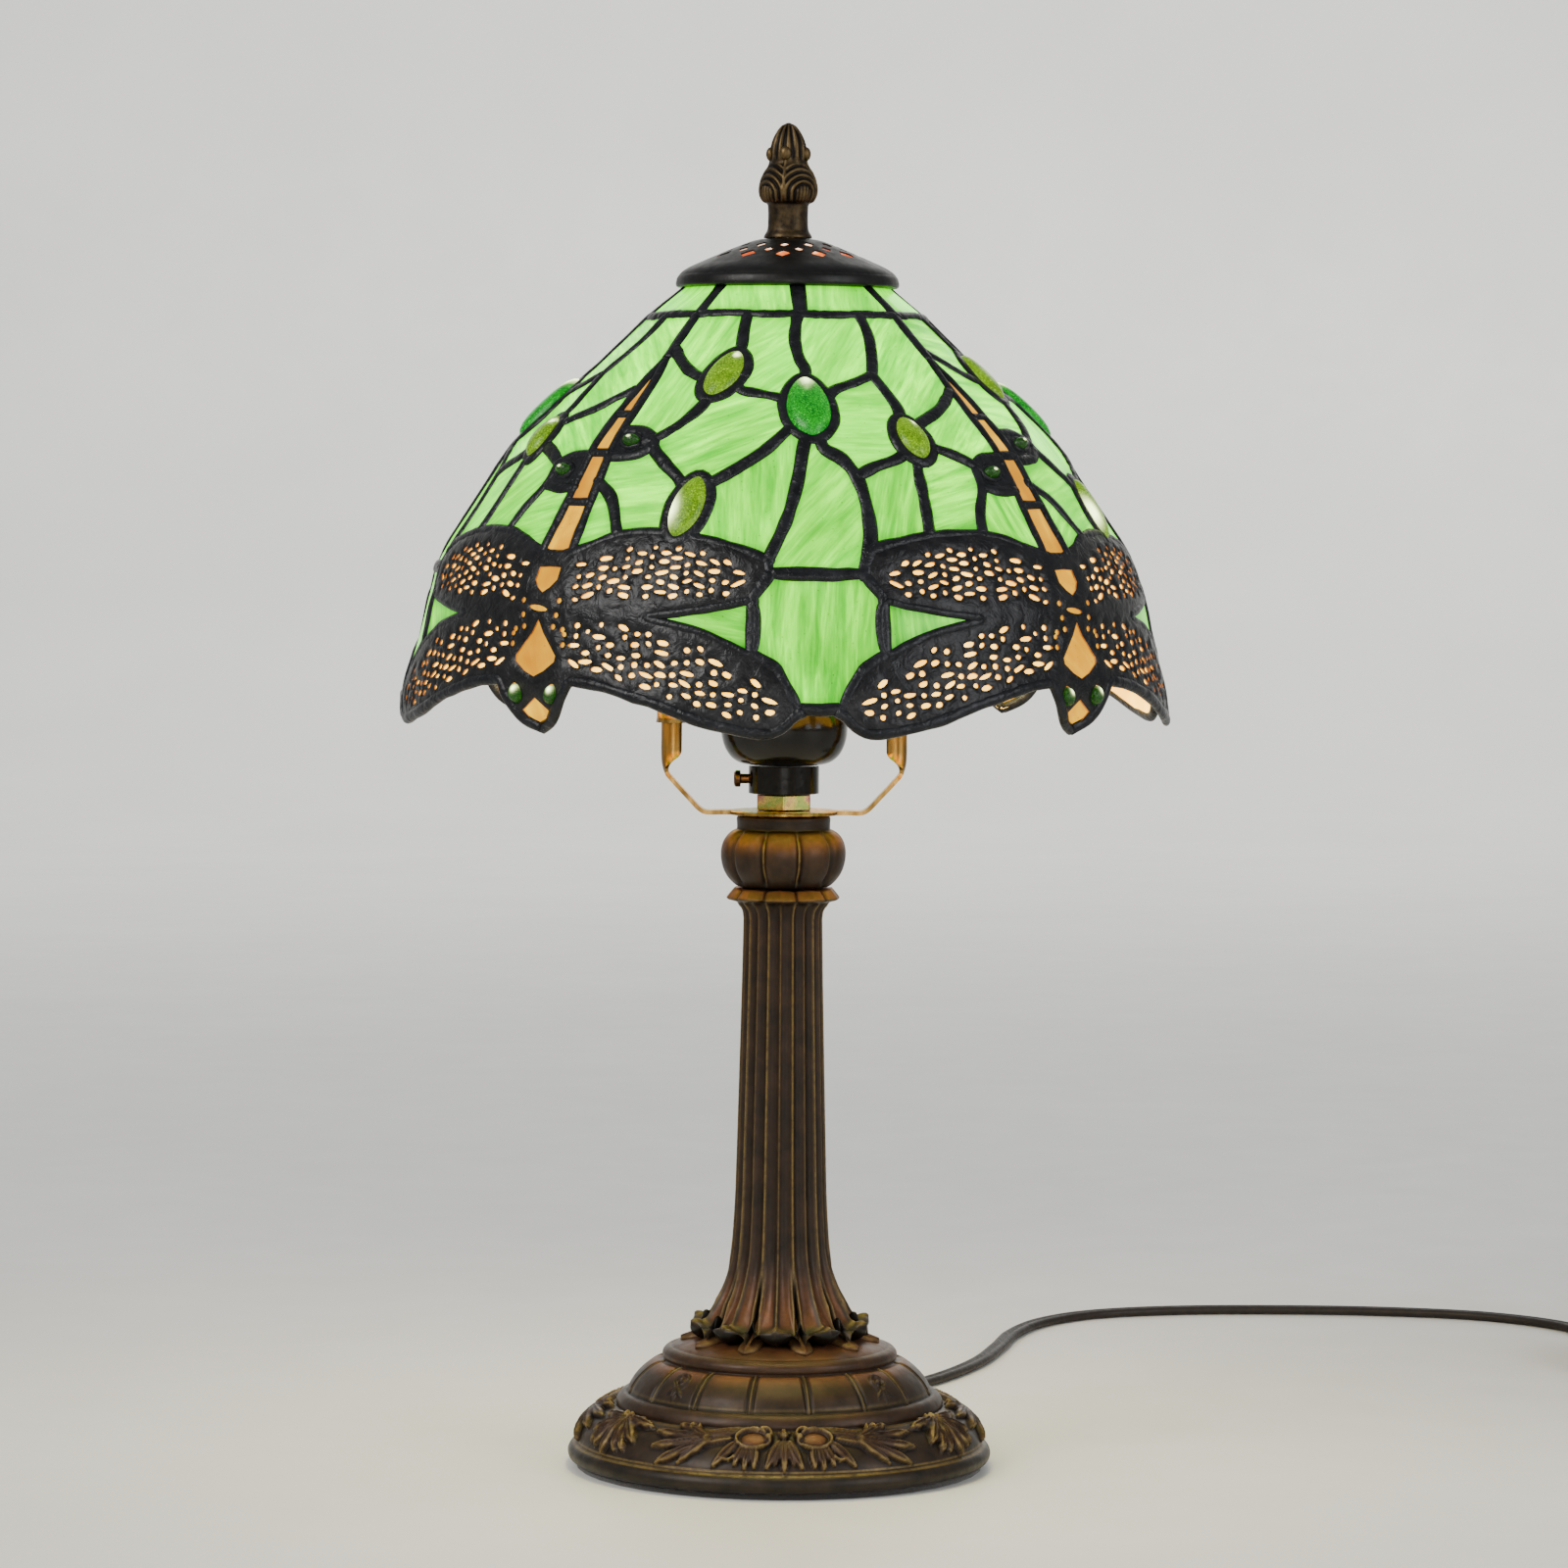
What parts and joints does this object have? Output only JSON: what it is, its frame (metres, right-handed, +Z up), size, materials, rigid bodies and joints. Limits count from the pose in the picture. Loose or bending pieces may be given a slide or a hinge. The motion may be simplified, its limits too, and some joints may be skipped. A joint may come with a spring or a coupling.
{
  "type": "leaded glass table lamp",
  "caption": "Leaded-glass dragonfly dome shade on a harp over a fluted bronze-finish stem and round relief base, with flat cord, in-line switch and plug.",
  "frame": {"origin": "centre of the felt underside, on the surface the lamp stands on", "axes": "+Z up along the stem, front towards -Y"},
  "size_m": [0.4658, 0.4121, 0.3844],
  "materials": {
    "felt": "matt black felt",
    "bronze_resin": "antique bronze paint with rubbed copper highlights",
    "cast_iron": "rough cast",
    "zinc_steel": "zinc plated",
    "yellow_zinc": "yellow chromate",
    "brass": "bright drawn brass",
    "black_phenolic": "glossy black",
    "porcelain": "unglazed white",
    "frosted_bulb": "frosted, lit",
    "green_glass": "streaky opalescent sheet glass",
    "emerald_glass": "domed clear jewel",
    "amber_glass": "opalescent amber",
    "wing_filigree": "dark pierced metal over cream glass, with dark solder",
    "dark_patina": "dark patina, satin",
    "aged_brass": "antique, dark in the hollows",
    "cord_vinyl": "dark brown vinyl",
    "cord_tie": "black hook-and-loop strap",
    "switch_plastic": "dark brown moulded"
  },
  "bodies": {
    "root": {"felt_pad": "felt", "base_casting": "bronze_resin", "base_weight": "cast_iron", "base_washer": "zinc_steel", "base_nut": "zinc_steel", "threaded_rod": "zinc_steel", "column": "bronze_resin", "knop": "bronze_resin", "lock_nut": "yellow_zinc", "harp_saddle": "brass", "socket_cap": "black_phenolic", "set_screw": "brass", "socket_shell": "black_phenolic", "socket_insulator": "porcelain", "screw_shell": "brass", "centre_contact": "brass", "strain_relief": "cord_vinyl", "inner_lead": "cord_vinyl", "cord_lead": "cord_vinyl", "switch_lower": "switch_plastic", "switch_upper": "switch_plastic", "cord_tail": "cord_vinyl", "cord_coil": "cord_vinyl", "cord_tie": "cord_tie", "cord_end": "cord_vinyl", "plug_body": "switch_plastic", "plug_blade_wide": "brass", "plug_blade_narrow": "brass"},
    "bulb": {"bulb_cap": "zinc_steel", "bulb_glass": "frosted_bulb"},
    "harp": {"harp_wire": "brass", "harp_stud": "brass"},
    "ferrule_left": {"ferrule_left": "brass"},
    "ferrule_right": {"ferrule_right": "brass"},
    "shade_seat": {"shade_seat": "brass"},
    "shade": {"vase_cap": "dark_patina", "crown_glass": "green_glass", "field_panel_front": "green_glass", "field_panel_right": "green_glass", "field_panel_back": "green_glass", "field_panel_left": "green_glass", "centre_pane_front": "green_glass", "centre_pane_right": "green_glass", "centre_pane_back": "green_glass", "centre_pane_left": "green_glass", "centre_jewel_front": "emerald_glass", "centre_jewel_right": "emerald_glass", "centre_jewel_back": "emerald_glass", "centre_jewel_left": "emerald_glass", "dragonfly_wings_front_right": "wing_filigree", "dragonfly_wings_back_right": "wing_filigree", "dragonfly_wings_back_left": "wing_filigree", "dragonfly_wings_front_left": "wing_filigree", "dragonfly_tail_front_right": "amber_glass", "dragonfly_tail_back_right": "amber_glass", "dragonfly_tail_back_left": "amber_glass", "dragonfly_tail_front_left": "amber_glass"},
    "finial": {"finial": "aged_brass"},
    "rocker": {"switch_rocker": "switch_plastic"}
  },
  "joints": [
    {"name": "bulb_turn", "type": "hinge", "parent": "root", "child": "bulb", "pos_m": [0, 0, 0.226], "axis": [0, 0, 1], "continuous": true},
    {"name": "harp_lift", "type": "slide", "parent": "root", "child": "harp", "axis": [0, 0, 1], "range_m": [0, 0.02]},
    {"name": "ferrule_left_lift", "type": "slide", "parent": "harp", "child": "ferrule_left", "axis": [0, 0, 1], "range_m": [0, 0.012]},
    {"name": "ferrule_right_lift", "type": "slide", "parent": "harp", "child": "ferrule_right", "axis": [0, 0, 1], "range_m": [0, 0.012]},
    {"name": "shade_lift", "type": "slide", "parent": "harp", "child": "shade_seat", "axis": [0, 0, 1], "range_m": [0, 0.15]},
    {"name": "shade_turn", "type": "hinge", "parent": "shade_seat", "child": "shade", "pos_m": [0, 0, 0.35], "axis": [0, 0, 1], "continuous": true},
    {"name": "finial_turn", "type": "hinge", "parent": "shade", "child": "finial", "pos_m": [0, 0, 0.36], "axis": [0, 0, 1], "continuous": true},
    {"name": "switch_rock", "type": "hinge", "parent": "root", "child": "rocker", "pos_m": [0.272, 0.195, 0.0126], "axis": [1, 0, 0], "range_deg": [0, 11]}
  ]
}
